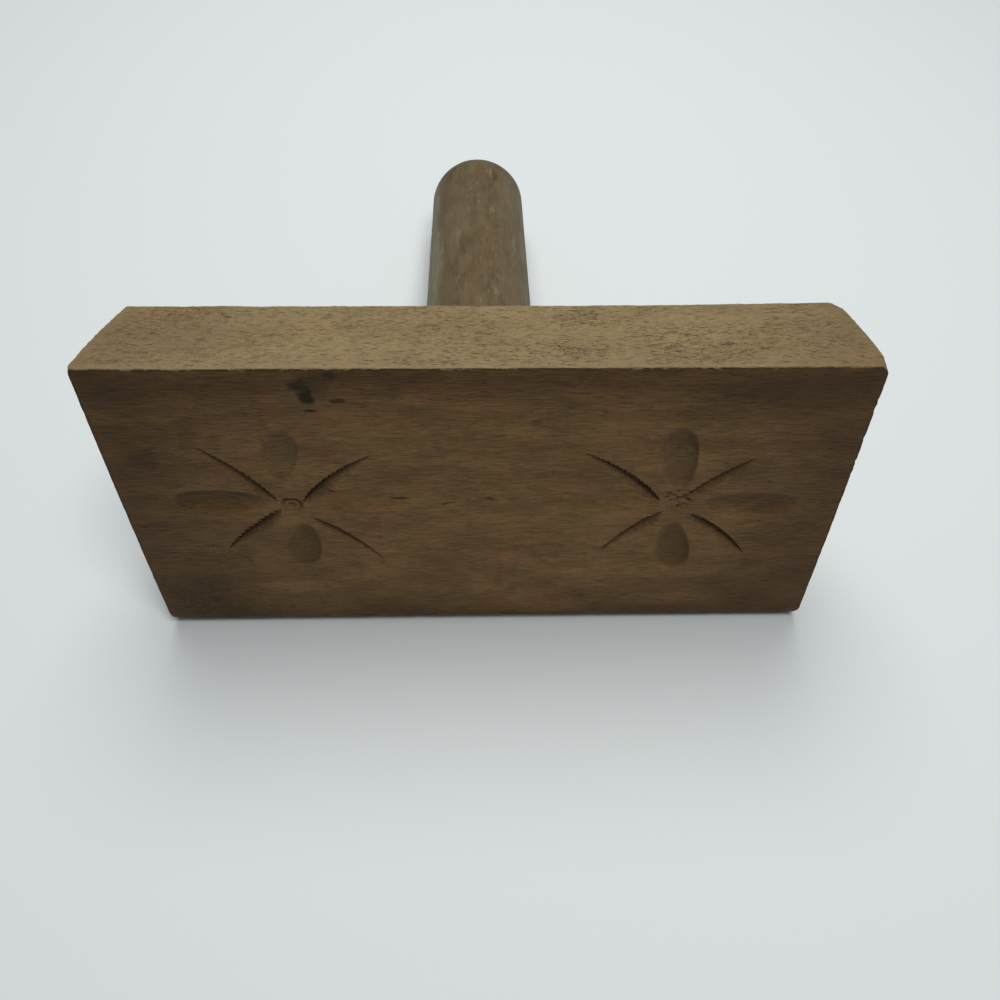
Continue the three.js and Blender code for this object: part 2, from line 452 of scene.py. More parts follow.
def carveFace(outline):
    # Every point of the face with its height and what it belongs to
    low, high = outline.min(axis=0), outline.max(axis=0)
    coarse = hexGrid(board["faceSpacing"], low, high, 0.16, board["seed"])
    fine = hexGrid(board["petalSpacing"], low, high, 0.10, board["seed"] + 1)

    def nearPetal(points):
        near = np.zeros(len(points), dtype=bool)
        for flower in flowers:
            offset = points - np.array(flower["centre"])
            for petal in flower["petals"]:
                near |= petalFall(petal, offset) > -0.32
            near |= np.linalg.norm(offset, axis=1) < 3.6
        return near

    field = np.vstack([coarse[~nearPetal(coarse)], fine[nearPetal(fine)]])
    field = field[withinMargin(field, low, high, board["faceMargin"])]
    rng = np.random.default_rng(board["seed"] + 2)
    keep = np.ones(len(field), dtype=bool)
    cutRows = []
    for flower in flowers:
        centre = np.array(flower["centre"])
        for spec in flower["rays"]:
            cutRows += rayRows(spec, centre, rng)
            keep &= ~nearRay(spec, field - centre)
        if flower["knob"]:
            hub = centre + knob["place"]
            cutRows += knobRings(hub)
            keep &= np.linalg.norm((field - hub) / (knob["length"], 1), axis=1) > knob["outer"] + 0.6
    field = field[keep]
    zero = np.zeros(len(field))
    sets, heights, cuts = zip((field, zero, zero), *cutRows)
    points, height, cut = np.vstack(sets), np.concatenate(heights), np.concatenate(cuts)

    petalShadeAndTone, reddened = np.zeros(len(points)), np.zeros(len(points))
    blur = 0.16 * smoothNoise(points / (1.6, 0.7), 71, 3)
    for flower in flowers:
        offset = points - np.array(flower["centre"])
        for petal in flower["petals"]:
            height -= petalDepth(petal, offset)
            lean = petalLean(petal, offset)
            # Painted shade: a petal is darker, with a sharper edge, on its right or upper side, where its
            # wall is turned from the light
            soft = 0.62 - 0.34 * smoothStep(-0.5, 0.7, lean)
            inPetal = smoothStep(-0.06, soft, np.clip(petalFall(petal, offset), -0.4, 1) + blur)
            petalShadeAndTone = np.maximum(petalShadeAndTone, inPetal * petal["dark"] * (0.86 + 0.22 * lean))
            reddened += inPetal * petal["red"]
        if not flower["knob"]:
            # The middle of this flower is broken out into rough little chips, with painted shade and dirt in
            # the deeper ones.
            gap = np.linalg.norm(offset * np.array([0.62, 0.72]), axis=1)
            slanted = np.column_stack([offset[:, 0] * 0.8 - offset[:, 1] * 0.35, offset[:, 1] * 2.1])
            chips = smoothNoise(slanted, 47, 3)
            rough = smoothStep(2.6, 1.1, gap)
            height -= rough * (0.30 + 0.55 * chips)
            cut = np.maximum(cut, rough * smoothStep(0.0, 0.5, chips) * 0.75)
    return points, height, {"cutShadeAndDirt": cut, "petalShadeAndTone": petalShadeAndTone, "reddened": reddened}


def triangulate(points, loops):
    # Delaunay triangles inside the outer loop, which is the first
    edges = [(loop[k], loop[(k + 1) % len(loop)]) for loop in loops for k in range(len(loop))]
    found = geometry.delaunay_2d_cdt([Vector(p) for p in points.tolist()], edges, [], 0, 1e-6)
    places, faces, origin = found[0], found[2], found[3]
    source = [group[0] if group else -1 for group in origin]
    if -1 in source:
        raise ValueError("an edge of the outline was crossed")
    return np.array([[source[v] for v in face] for face in faces])


def sideRows():
    # Depth and rounding of each ring of vertices, from the rim of the face to that of the back
    faceRim, backRim = board["faceRim"], board["backRim"]
    sideTo = boardThickness - backRim
    rows = []
    for k in range(board["faceRimSteps"]):
        angle = math.pi / 2 * k / board["faceRimSteps"]
        rows.append((faceRim * (1 - math.cos(angle)), faceRim * (1 - math.sin(angle))))
    steps = int((sideTo - faceRim) / board["rowSpacing"])
    for k in range(steps):
        rows.append((faceRim + (sideTo - faceRim) * k / steps, 0.0))
    for k in range(board["backRimSteps"] + 1):
        angle = math.pi / 2 * k / board["backRimSteps"]
        rows.append((sideTo + backRim * math.sin(angle), backRim * (1 - math.cos(angle))))
    return rows


def layBack(outline):
    # Points and triangles of the back, round the bore that takes the handle's tenon
    spokes = np.arange(board["boreSpokes"]) * 2 * math.pi / board["boreSpokes"]
    boreRim = handleAxis + np.column_stack([np.cos(spokes), np.sin(spokes)]) * boreRadius
    low, high = outline.min(axis=0), outline.max(axis=0)
    field = hexGrid(board["backSpacing"], low, high, 0.1, board["seed"] + 5)
    keep = withinMargin(field, low, high, board["backMargin"])
    keep &= np.linalg.norm(field - handleAxis, axis=1) > boreRadius + board["backMargin"]
    points = np.vstack([outline, boreRim, field[keep]])
    count = len(outline)
    triangles = triangulate(points, [list(range(count)), list(range(count, count + len(boreRim)))])
    inBore = np.linalg.norm(points[triangles].mean(axis=1) - handleAxis, axis=1) < boreRadius * 0.999
    return boreRim, points[count:], triangles[~inBore]


def atHeight(flat, height):
    return np.column_stack([flat, np.full(len(flat), height)])


def makeBoardMesh():
    template = ringTemplate()
    count = len(template)
    ring = np.arange(count)
    rings = [ringPoints(template, depth, roll) for depth, roll in sideRows()]
    outline = rings[0][:, :2]
    facePoints, faceHeights, faceMarks = carveFace(outline)
    faceTriangles = triangulate(np.vstack([outline, facePoints]), [list(ring)])
    boreRim, backPoints, backTriangles = layBack(rings[-1][:, :2])

    # One list of vertices: the rings, the face, the back and the bore
    faceStart = len(rings) * count
    backStart = faceStart + len(facePoints)
    wallStart = backStart + len(backPoints)
    places = [*rings, np.column_stack([facePoints, faceHeights]), atHeight(backPoints, -boardThickness)]
    for k in range(board["boreRows"]):
        places.append(atHeight(boreRim, -boardThickness + boreDepth * (k + 1) / board["boreRows"]))
    places.append(np.array([[*handleAxis, -boardThickness + boreDepth]]))
    vertices = np.vstack(places)

    toFace = np.concatenate([ring, faceStart + np.arange(len(facePoints))])
    faces = toFace[faceTriangles].tolist()
    for level in range(len(rings) - 1):
        a = level * count + ring
        b = level * count + (ring + 1) % count
        faces += np.column_stack([a, a + count, b + count, b]).tolist()
    toBack = np.concatenate([faceStart - count + ring, backStart + np.arange(len(backPoints))])
    faces += toBack[backTriangles][:, ::-1].tolist()
    around = np.arange(len(boreRim))
    onward = (around + 1) % len(around)
    previous = backStart
    for k in range(board["boreRows"]):
        start = wallStart + k * len(around)
        strip = [previous + onward, previous + around, start + around, start + onward]
        faces += np.column_stack(strip).tolist()
        previous = start
    middle = np.full(len(around), len(vertices) - 1)
    faces += np.column_stack([previous + onward, previous + around, middle]).tolist()

    # What each vertex belongs to, for the wood's finish
    marks = {name: np.zeros(len(vertices)) for name in ("onFace", *faceMarks)}
    for level in range(board["faceRimSteps"]):
        marks["onFace"][level * count:(level + 1) * count] = 1 - level / board["faceRimSteps"]
    marks["onFace"][faceStart:backStart] = 1
    for name, values in faceMarks.items():
        marks[name][faceStart:backStart] = values
    return vertices, faces, marks


def vertexNormals(vertices, faces):
    # Outward direction at each vertex, larger triangles counting for more
    triangles = []
    for face in faces:
        triangles.append(face[:3])
        if len(face) == 4:
            triangles.append([face[0], face[2], face[3]])
    triangles = np.array(triangles)
    a, b, c = (vertices[triangles[:, k]] for k in range(3))
    flat = np.cross(b - a, c - a)
    normals = np.zeros_like(vertices)
    for k in range(3):
        np.add.at(normals, triangles[:, k], flat)
    return normals / np.maximum(np.linalg.norm(normals, axis=1), 1e-12)[:, None]


def bumps(vertices, sizes, seed, octaves=2):
    # Noise whose bumps have these sizes along the board, up it and through it
    return smoothNoise(vertices / sizes, seed, octaves)


def raiseGrain(vertices, side, marks):
    # Raised and torn fibres of the washed sides, and the faint ones of the face.
    # The left end was weathered finer, and the middle of the top tore in longer fibres.
    fibres = bumps(vertices, (2.6, 0.8, 0.8), 5, 3)
    patch = smoothStep(-0.45, 0.35, bumps(vertices, (17, 12, 12), 13, 1))
    finer = smoothStep(-32, -52, vertices[:, 0])
    torn = smoothStep(0.24, 0.5, bumps(vertices, (2.4, 0.75, 0.7), 9)) * (0.25 + 0.75 * patch)
    grit = smoothStep(0.1, 0.5, bumps(vertices, (1.3, 0.9, 0.9), 11))
    torn = torn * (1 - 0.6 * finer) + 0.35 * finer * grit
    marks["torn"] = side * torn
    grain = side * (board["raisedFibres"] * (fibres - 0.5) - board["tornFibres"] * torn)
    return grain, marks["onFace"] * board["faceFibres"] * bumps(vertices, (6, 1.1, 1), 15)


def chipArrises(vertices, depth, low, edge, toEnd, toRight):
    # Nicks and wander of the arrises, the chipped right rim and the worn lower one
    nick = smoothStep(0.45, 0.8, bumps(vertices, (1.8, 1.5, 1.6), 17)) * smoothStep(1.1, 0.0, edge)
    rimLow, rimHigh = board["chippedRim"]
    upright = vertices[:, 1]
    inRim = smoothStep(rimLow, rimLow + 22, upright) * smoothStep(rimHigh, rimHigh - 6, upright)
    rightRim = smoothStep(2.2, 0.2, toRight) * smoothStep(1.4, 0.0, edge)
    rightChips = smoothStep(0.1, 0.5, bumps(vertices, (2.0, 0.9, 1.8), 19)) * rightRim * inRim
    steady = 1 - board["endSteady"] * smoothStep(3.0, 1.0, toEnd)
    chips = board["nickDepth"] * (0.45 * nick * steady + rightChips)
    wander = smoothStep(1.8, 0.0, edge) * (0.35 + 0.65 * bumps(vertices, (4.5, 4.5, 5), 21, 3))
    bitten = smoothStep(-0.1, 0.6, bumps(vertices, (1.7, 1.3, 1.3), 23)) * smoothStep(0.9, 0.1, edge)
    chips += board["arrisWander"] * (wander + 0.8 * bitten) * steady
    lowFront = smoothStep(2.6, 0.0, np.hypot(upright - low, depth))
    chips += board["lowArrisWear"] * lowFront * (1.2 - 0.45 * (vertices[:, 0] / boardHigh[0]) ** 2)
    return chips


def knockCorners(moved):
    for knock in knocks:
        side, top, behind = knock["corner"]
        edges = boardEdges(behind * boardThickness, 0)
        place = np.array([edges[side > 0], edges[2 + (top > 0)], -behind * boardThickness])
        out = np.array(knock["way"]) / np.linalg.norm(knock["way"])
        beyond = (moved - place) @ out + knock["depth"]
        near = np.linalg.norm(moved - place, axis=1) < 8
        moved -= (np.maximum(beyond, 0) * near)[:, None] * out * 0.9


def sawEnds(moved, depth):
    # The ends as they were sawn, and the back's upper edge
    sideways, upright = moved[:, 0], moved[:, 1]
    height = (upright - boardLow[1]) / (boardHigh[1] - boardLow[1])
    through = np.clip(depth / boardThickness, 0, 1)
    crown = board["endCrown"] * 4 * through * (1 - through)
    bow = 4 * height * (1 - height)
    rightIn = board["rightTopIn"] * height - board["rightEndBow"] * bow - crown
    leftIn = board["leftEndIn"] - board["leftEndBow"] * bow - crown * 1.25
    atRight = smoothStep(0.35, 1.0, sideways / boardHigh[0])
    atLeft = smoothStep(0.35, 1.0, sideways / boardLow[0])
    moved[:, 1] += board["backRise"] * atRight * through * smoothStep(0, 1, upright / boardHigh[1])
    moved[:, 0] += atLeft * leftIn - atRight * rightIn


def wearBoard(vertices, faces, marks):
    # Moves every vertex for the wear, and marks what the finish needs to know of it
    depth = -vertices[:, 2]
    left, right, low, high = boardEdges(depth, 0)
    toRight = right - vertices[:, 0]
    toEnd = np.minimum(vertices[:, 0] - left, toRight)
    toSide = np.minimum(vertices[:, 1] - low, high - vertices[:, 1])
    toFace = np.minimum(depth, boardThickness - depth)
    nearest = np.sort(np.column_stack([toEnd, toSide, toFace]), axis=1)
    edge = np.hypot(np.maximum(nearest[:, 0], 0), np.maximum(nearest[:, 1], 0))
    marks["wornEdge"] = smoothStep(2.6, 0.2, edge)
    normals = vertexNormals(vertices, faces)
    longSide = smoothStep(0.5, 0.9, np.abs(normals[:, 1]))
    endSide = smoothStep(0.5, 0.9, np.abs(normals[:, 0])) * (toEnd < 3.5)
    marks["endGrain"] = endSide
    marks["onBack"] = smoothStep(0.5, 0.9, -normals[:, 2]) * (depth > boardThickness - 1.5)
    inBore = (np.linalg.norm(vertices[:, :2] - handleAxis, axis=1) < tenonRadius + 1) & (depth > 1)
    wave = bumps(vertices, (34, 20, 16), 3) * board["waviness"]
    side = np.maximum(longSide, endSide) * (1 - marks["onFace"])
    grain, soft = raiseGrain(vertices, side, marks)
    chips = chipArrises(vertices, depth, low, edge, toEnd, toRight)
    inward = wave - board["waviness"] + grain + soft - chips
    moved = vertices + normals * np.where(inBore, 0, inward)[:, None]
    knockCorners(moved)
    sawEnds(moved, depth)
    return moved


def finishMesh(name, vertices, faces, marks):
    mesh = bpy.data.meshes.new(name)
    mesh.from_pydata(toTable(vertices).tolist(), [], faces)
    for mark, values in marks.items():
        attribute = mesh.attributes.new(mark, "FLOAT", "POINT")
        attribute.data.foreach_set("value", np.asarray(values, dtype=np.float32))
    mesh.update()
    mesh.polygons.foreach_set("use_smooth", [True] * len(mesh.polygons))
    mesh.set_sharp_from_angle(angle=math.radians(board["sharpAngle"]))
    return addObject(name, mesh)


vertices, faces, marks = makeBoardMesh()
vertices = wearBoard(vertices, faces, marks)
boardPiece = finishMesh("carved_board", vertices, faces, marks)
print("board made:", len(vertices), "points,", sum(len(face) - 2 for face in faces), "triangles")


# One output of a node. Sums and products of fields are Math nodes of the same tree.
class Field:
    def __init__(self, tree, socket):
        self.tree = tree
        self.socket = socket

    def other(self, name):
        # Another output of the same node
        return Field(self.tree, self.socket.node.outputs[name])

    def part(self, name):
        # One coordinate of a vector, or one channel of a colour
        kind = "ShaderNodeSeparateXYZ" if name in "XYZ" else "ShaderNodeSeparateColor"
        return addNode(kind, {0: self}).other(name)

    def clamped(self):
        self.socket.node.use_clamp = True
        return self

    def remap(self, low, high, outLow=0.0, outHigh=1.0, kind="SMOOTHSTEP"):
        limits = {"Value": self, "From Min": low, "From Max": high, "To Min": outLow, "To Max": outHigh}
        return addNode("ShaderNodeMapRange", limits, interpolation_type=kind)

    def __add__(self, value):
        return calc("ADD", self, value)

    def __radd__(self, value):
        return calc("ADD", value, self)

    def __sub__(self, value):
        return calc("SUBTRACT", self, value)

    def __rsub__(self, value):
        return calc("SUBTRACT", value, self)

    def __mul__(self, value):
        return calc("MULTIPLY", self, value)

    def __truediv__(self, value):
        return calc("DIVIDE", self, value)

    def __rtruediv__(self, value):
        return calc("DIVIDE", value, self)

    def __pow__(self, value):
        return calc("POWER", self, value)


def addNode(kind, inputs=None, tree=None, **settings):
    # Gives the node's first output. Its tree is that of its inputs, unless it is named.
    inputs = inputs or {}
    tree = tree or next(value.tree for value in inputs.values() if isinstance(value, Field))
    made = tree.nodes.new(kind)
    for name, value in settings.items():
        setattr(made, name, value)
    for key, value in inputs.items():
        socket = made.inputs[key]
        if isinstance(key, str):
            socket = next(each for each in made.inputs if each.name == key and each.enabled)
        if isinstance(value, Field):
            tree.links.new(value.socket, socket)
        else:
            socket.default_value = (*value, 1.0) if socket.type == "RGBA" else value
    outputs = [each for each in made.outputs if each.enabled]
    return Field(tree, outputs[0]) if outputs else None


def calc(operation, *values):
    return addNode("ShaderNodeMath", dict(enumerate(values)), operation=operation)


def strongest(first, *others):
    for other in others:
        first = calc("MAXIMUM", first, other)
    return first


def vectorCalc(operation, *values, **named):
    return addNode("ShaderNodeVectorMath", {**dict(enumerate(values)), **named}, operation=operation)


def blend(factor, first, second, kind="MIX"):
    inputs = {"Factor": factor, "A": first, "B": second}
    return addNode("ShaderNodeMix", inputs, data_type="RGBA", blend_type=kind)


def layered(finish, colour, *layers):
    # Colours over a colour, each with its strength. A name is a colour of the finish.
    for strength, over in layers:
        colour = blend(strength, colour, finish[over] if isinstance(over, str) else over)
    return colour


def stretched(vector, sizes):
    # Coordinates divided by a size along each axis
    return addNode("ShaderNodeMapping", {"Vector": vector, "Scale": [1 / size for size in sizes]})


def noise(vector, sizes, detail=3.0, roughness=0.55, distortion=0.0):
    return addNode("ShaderNodeTexNoise", {
        "Vector": stretched(vector, sizes), "Scale": 1.0, "Detail": detail,
        "Roughness": roughness, "Distortion": distortion,
    })


def cells(vector, sizes, feature="F1"):
    inputs = {"Vector": stretched(vector, sizes), "Scale": 1.0}
    return addNode("ShaderNodeTexVoronoi", inputs, feature=feature)


def mark(tree, name):
    return addNode("ShaderNodeAttribute", tree=tree, attribute_name=name).other("Fac")


def bentPlaces(place, sizes, detail, amount, middle=0.5):
    # Coordinates pushed about by a noise of these sizes
    bend = noise(place, sizes, detail, 0.5).other("Color")
    bend = vectorCalc("MULTIPLY", vectorCalc("SUBTRACT", bend, (middle, middle, middle)), amount)
    return vectorCalc("ADD", place, bend)


def farFrom(place, at, size):
    # Distance from a place, where 1 is the rim of an oval with these half sizes
    inputs = {"Vector": place, "Location": at, "Scale": size}
    return vectorCalc("LENGTH", addNode("ShaderNodeMapping", inputs, vector_type="TEXTURE"))


def ovals(place, patches, core=0.5):
    # Soft ovals: place, half sizes, strength. They are full from the core inwards.
    masks = [farFrom(place, at, size).remap(1.3, core, 0.0, strength) for at, size, strength in patches]
    return strongest(*masks)


def flatOvals(place, patches, core=0.5):
    # The same on the face: right, up, half width, half height, strength
    return ovals(place, [((*row[:2], 0), (*row[2:4], 6), row[4]) for row in patches], core)


def makeMaterial(name, paint):
    # The paint gets the tree and the place on the board's own axes, in millimetres.
    material = bpy.data.materials.new(name)
    material.use_nodes = True
    tree = material.node_tree
    tree.nodes.clear()
    place = addNode("ShaderNodeTexCoord", tree=tree).other("Object")
    paint(tree, addNode("ShaderNodeMapping", {
        "Vector": place, "Location": faceCentre, "Rotation": (tipAngle, 0, 0), "Scale": (mm, mm, mm),
    }, vector_type="TEXTURE"))
    return material


def setSurface(finish, colour, roughness, height):
    relief = {"Height": height, "Strength": finish["bump"], "Distance": finish["bumpDepth"]}
    surface = addNode("ShaderNodeBsdfPrincipled", {
        "Base Color": colour, "Roughness": roughness, "Specular IOR Level": finish["specular"],
        "Normal": addNode("ShaderNodeBump", relief),
    })
    addNode("ShaderNodeOutputMaterial", {"Surface": surface})


def beechFigure(grain, pith, ringWidth):
    # Growth rings round a pith along the grain (x), fibres, clouds and the short dark flecks of beech
    bend = (noise(grain, (70, 30, 30), 1.5) - 0.5) * 13.0
    y, z = grain.part("Y") - pith[0], grain.part("Z") - pith[1]
    radius = calc("SQRT", y * y + z * z)
    ring = calc("FRACT", (radius + bend) / ringWidth)
    late = ring.remap(0.3, 0.9) * ring.remap(1.0, 0.92)
    fibres = noise(grain, (3.6, 0.24, 0.24), 4, 0.66)
    cloud = noise(grain, (17, 7, 7), 4, 0.6)
    dashes = []
    for size, first, last, strength in ((3.0, 0.60, 0.86, 1.0), (1.6, 0.42, 0.8, 0.8)):
        cell = cells(grain, (size, size * 0.12, size * 0.12))
        chosen = cell.other("Color").part("Red").remap(first, last)
        dashes.append(cell.remap(0.36, 0.08) * (chosen * strength))
    return late, fibres, cloud, strongest(*dashes)


# Finish of the board, colours as they look in plain light
boardFinish = {
    "wood": (0.264, 0.144, 0.053),
    "woodOlive": (0.240, 0.147, 0.046),
    "woodPink": (0.288, 0.150, 0.064),
    "woodDark": (0.092, 0.050, 0.017),
    "woodPale": (0.365, 0.225, 0.100),
    "rimTint": (0.49, 0.42, 0.33),
    "endTint": (0.76, 0.72, 0.68),
    "washed": (0.309, 0.227, 0.111),
    "washedDark": (0.118, 0.082, 0.038),
    "washedRed": (0.330, 0.185, 0.080),
    "fleck": (0.052, 0.029, 0.013),
    # Painted shade with dirt inside the cuts
    "creviceShadeAndDirt": (0.017, 0.007, 0.003),
    "petalShade": (-0.31, -0.30, -0.28),  # painted shade and greyer tone in a petal, where 0 is none
    "petalRed": (0.02, -0.13, -0.28),
    "grime": (0.022, 0.010, 0.003),
    "mould": (0.032, 0.029, 0.010),
    "edge": (0.330, 0.255, 0.155),
    "scuff": (0.320, 0.215, 0.105),
    "rimDarkening": 0.86,  # how much darker the rim of the face is than its middle
    "flecks": 0.95,
    "pith": (-16, -58),
    "ringWidth": 4.2,
    "roughness": 0.52,
    "specular": 0.22,
    "bump": 0.6,
    "bumpDepth": 0.0004,
}
# Patches of the top that split into small cracks: place, half sizes, strength
crackled = [
    ((39, 33, -8), (12, 6, 7), 1.0),
    ((11, 34, -4.5), (9, 6, 4.5), 0.9),
    ((19, 33, -17), (5, 6, 4), 0.8),
    ((-52, 33, -17), (9, 6, 5), 0.6),
]
# Reddish patches of the top, in the same way
redPatches = [
    ((48, 33, -19), (5, 6, 3), 0.18),
    ((64, 34, -3.5), (3, 6, 2.4), 0.30),
    ((-32, 33, -14), (5, 6, 2.5), 0.3),
    ((-57, 33, -19), (7, 6, 4), 0.34),
    ((-14, 32, -20), (9, 6, 2), 0.2),
]
# Scratches, mould and stains on the face: right, up, half width, half height, strength
scuffed = [
    (-53.0, -11.0, 3.0, 1.6, 0.8),
    (22.5, 14.0, 3.5, 0.8, 0.6),
    (37.5, 3.2, 3.0, 2.2, 0.6),
]
mouldy = [
    (-60.5, -30.0, 11.0, 6.0, 0.72),
    (-60.0, -24.0, 9.0, 6.0, 0.46),
    (-66.5, -26.0, 2.6, 9.0, 0.30),
    (-51.0, -17.0, 7.0, 3.0, 0.15),
]
stains = [
    (-30.8, 28.6, 1.4, 2.4, 1.0),
    (-31.8, 30.4, 1.9, 1.0, 0.90),
    (-31.4, 31.6, 0.8, 1.0, 0.75),
    (-30.0, 30.0, 3.0, 3.4, 0.38),
    (-26.1, 33.0, 1.1, 1.2, 0.75),
    (-25.8, 27.5, 1.2, 0.6, 0.85),
    (-22.5, 27.0, 2.2, 0.3, 0.45),
    (-30.4, 25.3, 1.15, 0.42, 1.0),
    (-62.3, 14.3, 3.3, 2.7, 0.42),
    (-58.0, -26.6, 1.6, 0.8, 0.40),
    (-60.9, -28.2, 0.7, 0.6, 0.45),
    (-62.6, -24.6, 0.6, 0.5, 0.45),
    (-67.0, -19.6, 0.8, 0.5, 0.35),
    (-48.2, -14.2, 0.6, 1.2, 0.45),
    (-65.5, 29.5, 6.5, 4.5, 0.30),
    (55.0, 29.5, 17.0, 5.2, 0.36),
    (-16.6, 3.7, 1.9, 0.35, 0.85),
    (-7.4, 2.2, 1.6, 0.30, 0.75),
    (0.2, 3.5, 1.6, 0.45, 0.95),
    (-29.4, 5.7, 0.8, 0.45, 0.8),
    (-54.5, -9.6, 1.8, 0.5, 0.45),
    (-66.8, -3.4, 1.2, 0.6, 0.50),
    (-63.1, 29.7, 1.5, 0.5, 0.6),
]


# Noise that turns something on: size along and across the grain, detail, roughness, from, to
boardMasks = {
    "olive": (13, 5, 3, 0.6, 0.42, 0.62),
    "pink": (8, 2.2, 4, 0.65, 0.52, 0.68),
    "drift": (20, 8, 3, 0.6, 0.36, 0.66),
    "bright": (1.0, 0.5, 3, 0.8, 0.55, 0.72),
    "shadowed": (1.3, 0.6, 3, 0.8, 0.47, 0.33),
    "reddish": (6, 2.4, 4, 0.7, 0.56, 0.72),
    "cracked": (2.6, 1.1, 3, 0.6, 0.42, 0.56),
    "spilled": (2.2, 0.9, 4, 0.7, 0.49, 0.62),
    "specks": (0.8, 0.45, 4, 0.75, 0.48, 0.64),
    "gaps": (6, 1.5, 4, 0.7, 0.40, 0.56),
    "rubbed": (3.5, 1.6, 4, 0.65, 0.42, 0.7),
}


def rimDarkTone(grain):
    # Rim of the face, darker than its middle
    across = calc("ABSOLUTE", grain.part("X") / boardHigh[0]) ** 2.0
    upward = calc("ABSOLUTE", (grain.part("Y") + 0.9) / (boardHigh[1] + 0.9)) ** 2.6
    corner = calc("MINIMUM", across, upward) * 0.35
    drift = (noise(grain, (20, 6, 6), 5, 0.68) - 0.5) * 0.75
    return (strongest(across, upward) + corner + drift).remap(0.22, 0.95)


def crackle(grain):
    # Thin cracks, along and across the grain, in a few patches of the top side
    moved = bentPlaces(grain, (1.6, 0.8, 0.8), 3.0, (1.4, 0.7, 0.7), 0.0)
    lines = cells(moved, (2.0, 4.0, 0.85), "DISTANCE_TO_EDGE").remap(0.08, 0.03)
    return lines * ovals(moved, crackled)


def planedWood(grain, figure, masks, petalShadeAndTone):
    # Planed wood with its figure, as the face shows it
    finish = boardFinish
    late, fibres, cloud, fleck = figure
    tone = fibres * 0.75 + cloud * 0.45
    pale = noise(grain, (2.6, 0.26, 0.26), 4, 0.7, 0.3).remap(0.55, 0.72)
    streak = noise(grain, (4.6, 0.27, 0.27), 4, 0.68, 0.3).remap(0.56, 0.70)
    smooth = 1.0 - petalShadeAndTone * 0.6
    return layered(
        finish, finish["wood"],
        (masks["olive"] * 0.7, "woodOlive"),
        (masks["pink"] * 0.55, "woodPink"),
        (tone.remap(0.74, 0.46, 0.0, 0.80), "woodDark"),
        (pale * 0.42, "woodPale"),
        (streak * 0.75, "woodDark"),
        (late * 0.26, "woodDark"),
        (fleck * (smooth * finish["flecks"]), "fleck"),
    )


def washedWood(tree, grain, masks):
    # Washed sides are paler and fuzzy, with torn fibres that hold dirt. Gives their colour and relief.
    fuzz = noise(grain, (1.1, 0.22, 0.22), 5, 0.78)
    coarse = noise(grain, (3.6, 0.7, 0.7), 5, 0.72)
    dashes = cells(grain, (2.3, 0.30, 0.30))
    patchy = noise(grain, (14, 7, 7), 3, 0.6).remap(0.42, 0.60, 0.35, 1.0)
    pit = dashes.remap(0.38, 0.12) * dashes.other("Color").part("Green").remap(0.66, 0.95)
    pit = pit * patchy * grain.part("X").remap(-32, -52, 1.0, 0.45)
    toEnd = (calc("ABSOLUTE", grain.part("X")) + masks["drift"] * 10.0).remap(36, 78)
    reddish = (masks["reddish"] * 0.22 + ovals(grain, redPatches)).clamped()
    crack = crackle(grain) * masks["cracked"]
    colour = layered(
        boardFinish, boardFinish["washedDark"],
        (fuzz.remap(0.30, 0.62), "washed"),
        (0.46, "washed"),
        (coarse.remap(0.47, 0.34, 0.0, 0.12), "washedDark"),
        (masks["drift"] * 0.16, "woodDark"),
        (toEnd * 0.34, "woodDark"),
        (masks["bright"] * 0.4, "edge"),
        (masks["shadowed"] * 0.3, "washedDark"),
        (reddish * 0.6, "washedRed"),
        (pit * 0.34, "fleck"),
        (mark(tree, "torn") * 0.15, "washedDark"),
        (crack * 0.65, "fleck"),
        (mark(tree, "fibreTip") * 0.55, "edge"),
    )
    return colour, fuzz * 1.3 + coarse * 0.8 - strongest(pit, crack) * 1.2


def useTheFace(tree, grain, colour, onFace, petalShadeAndTone):
    # Stains and mould, then the petals' greyer tone and painted shade, darker on their right or upper side,
    # and coarser in places
    finish = boardFinish
    blotted = bentPlaces(grain, (2.6, 1.3, 1.3), 4.0, (3.0, 1.9, 0.0))
    mottled = noise(grain, (1.5, 1.0, 1.0), 4, 0.75).remap(0.42, 0.58, 0.25, 1.0)
    colour = layered(
        finish, colour,
        (flatOvals(blotted, stains, 0.35) * onFace, "grime"),
        (flatOvals(grain, mouldy) * mottled * onFace, "mould"),
    )
    for amount, change in ((petalShadeAndTone, "petalShade"), (mark(tree, "reddened"), "petalRed")):
        tint = vectorCalc("MULTIPLY_ADD", amount, finish[change], (1, 1, 1))
        colour = blend(1.0, colour, tint, "MULTIPLY")
    dots = cells(grain, (0.8, 0.62, 0.8)).remap(0.3, 0.12) * noise(grain, (4, 3, 3), 2).remap(0.5, 0.66)
    return blend(dots * petalShadeAndTone * 0.45, colour, finish["fleck"])


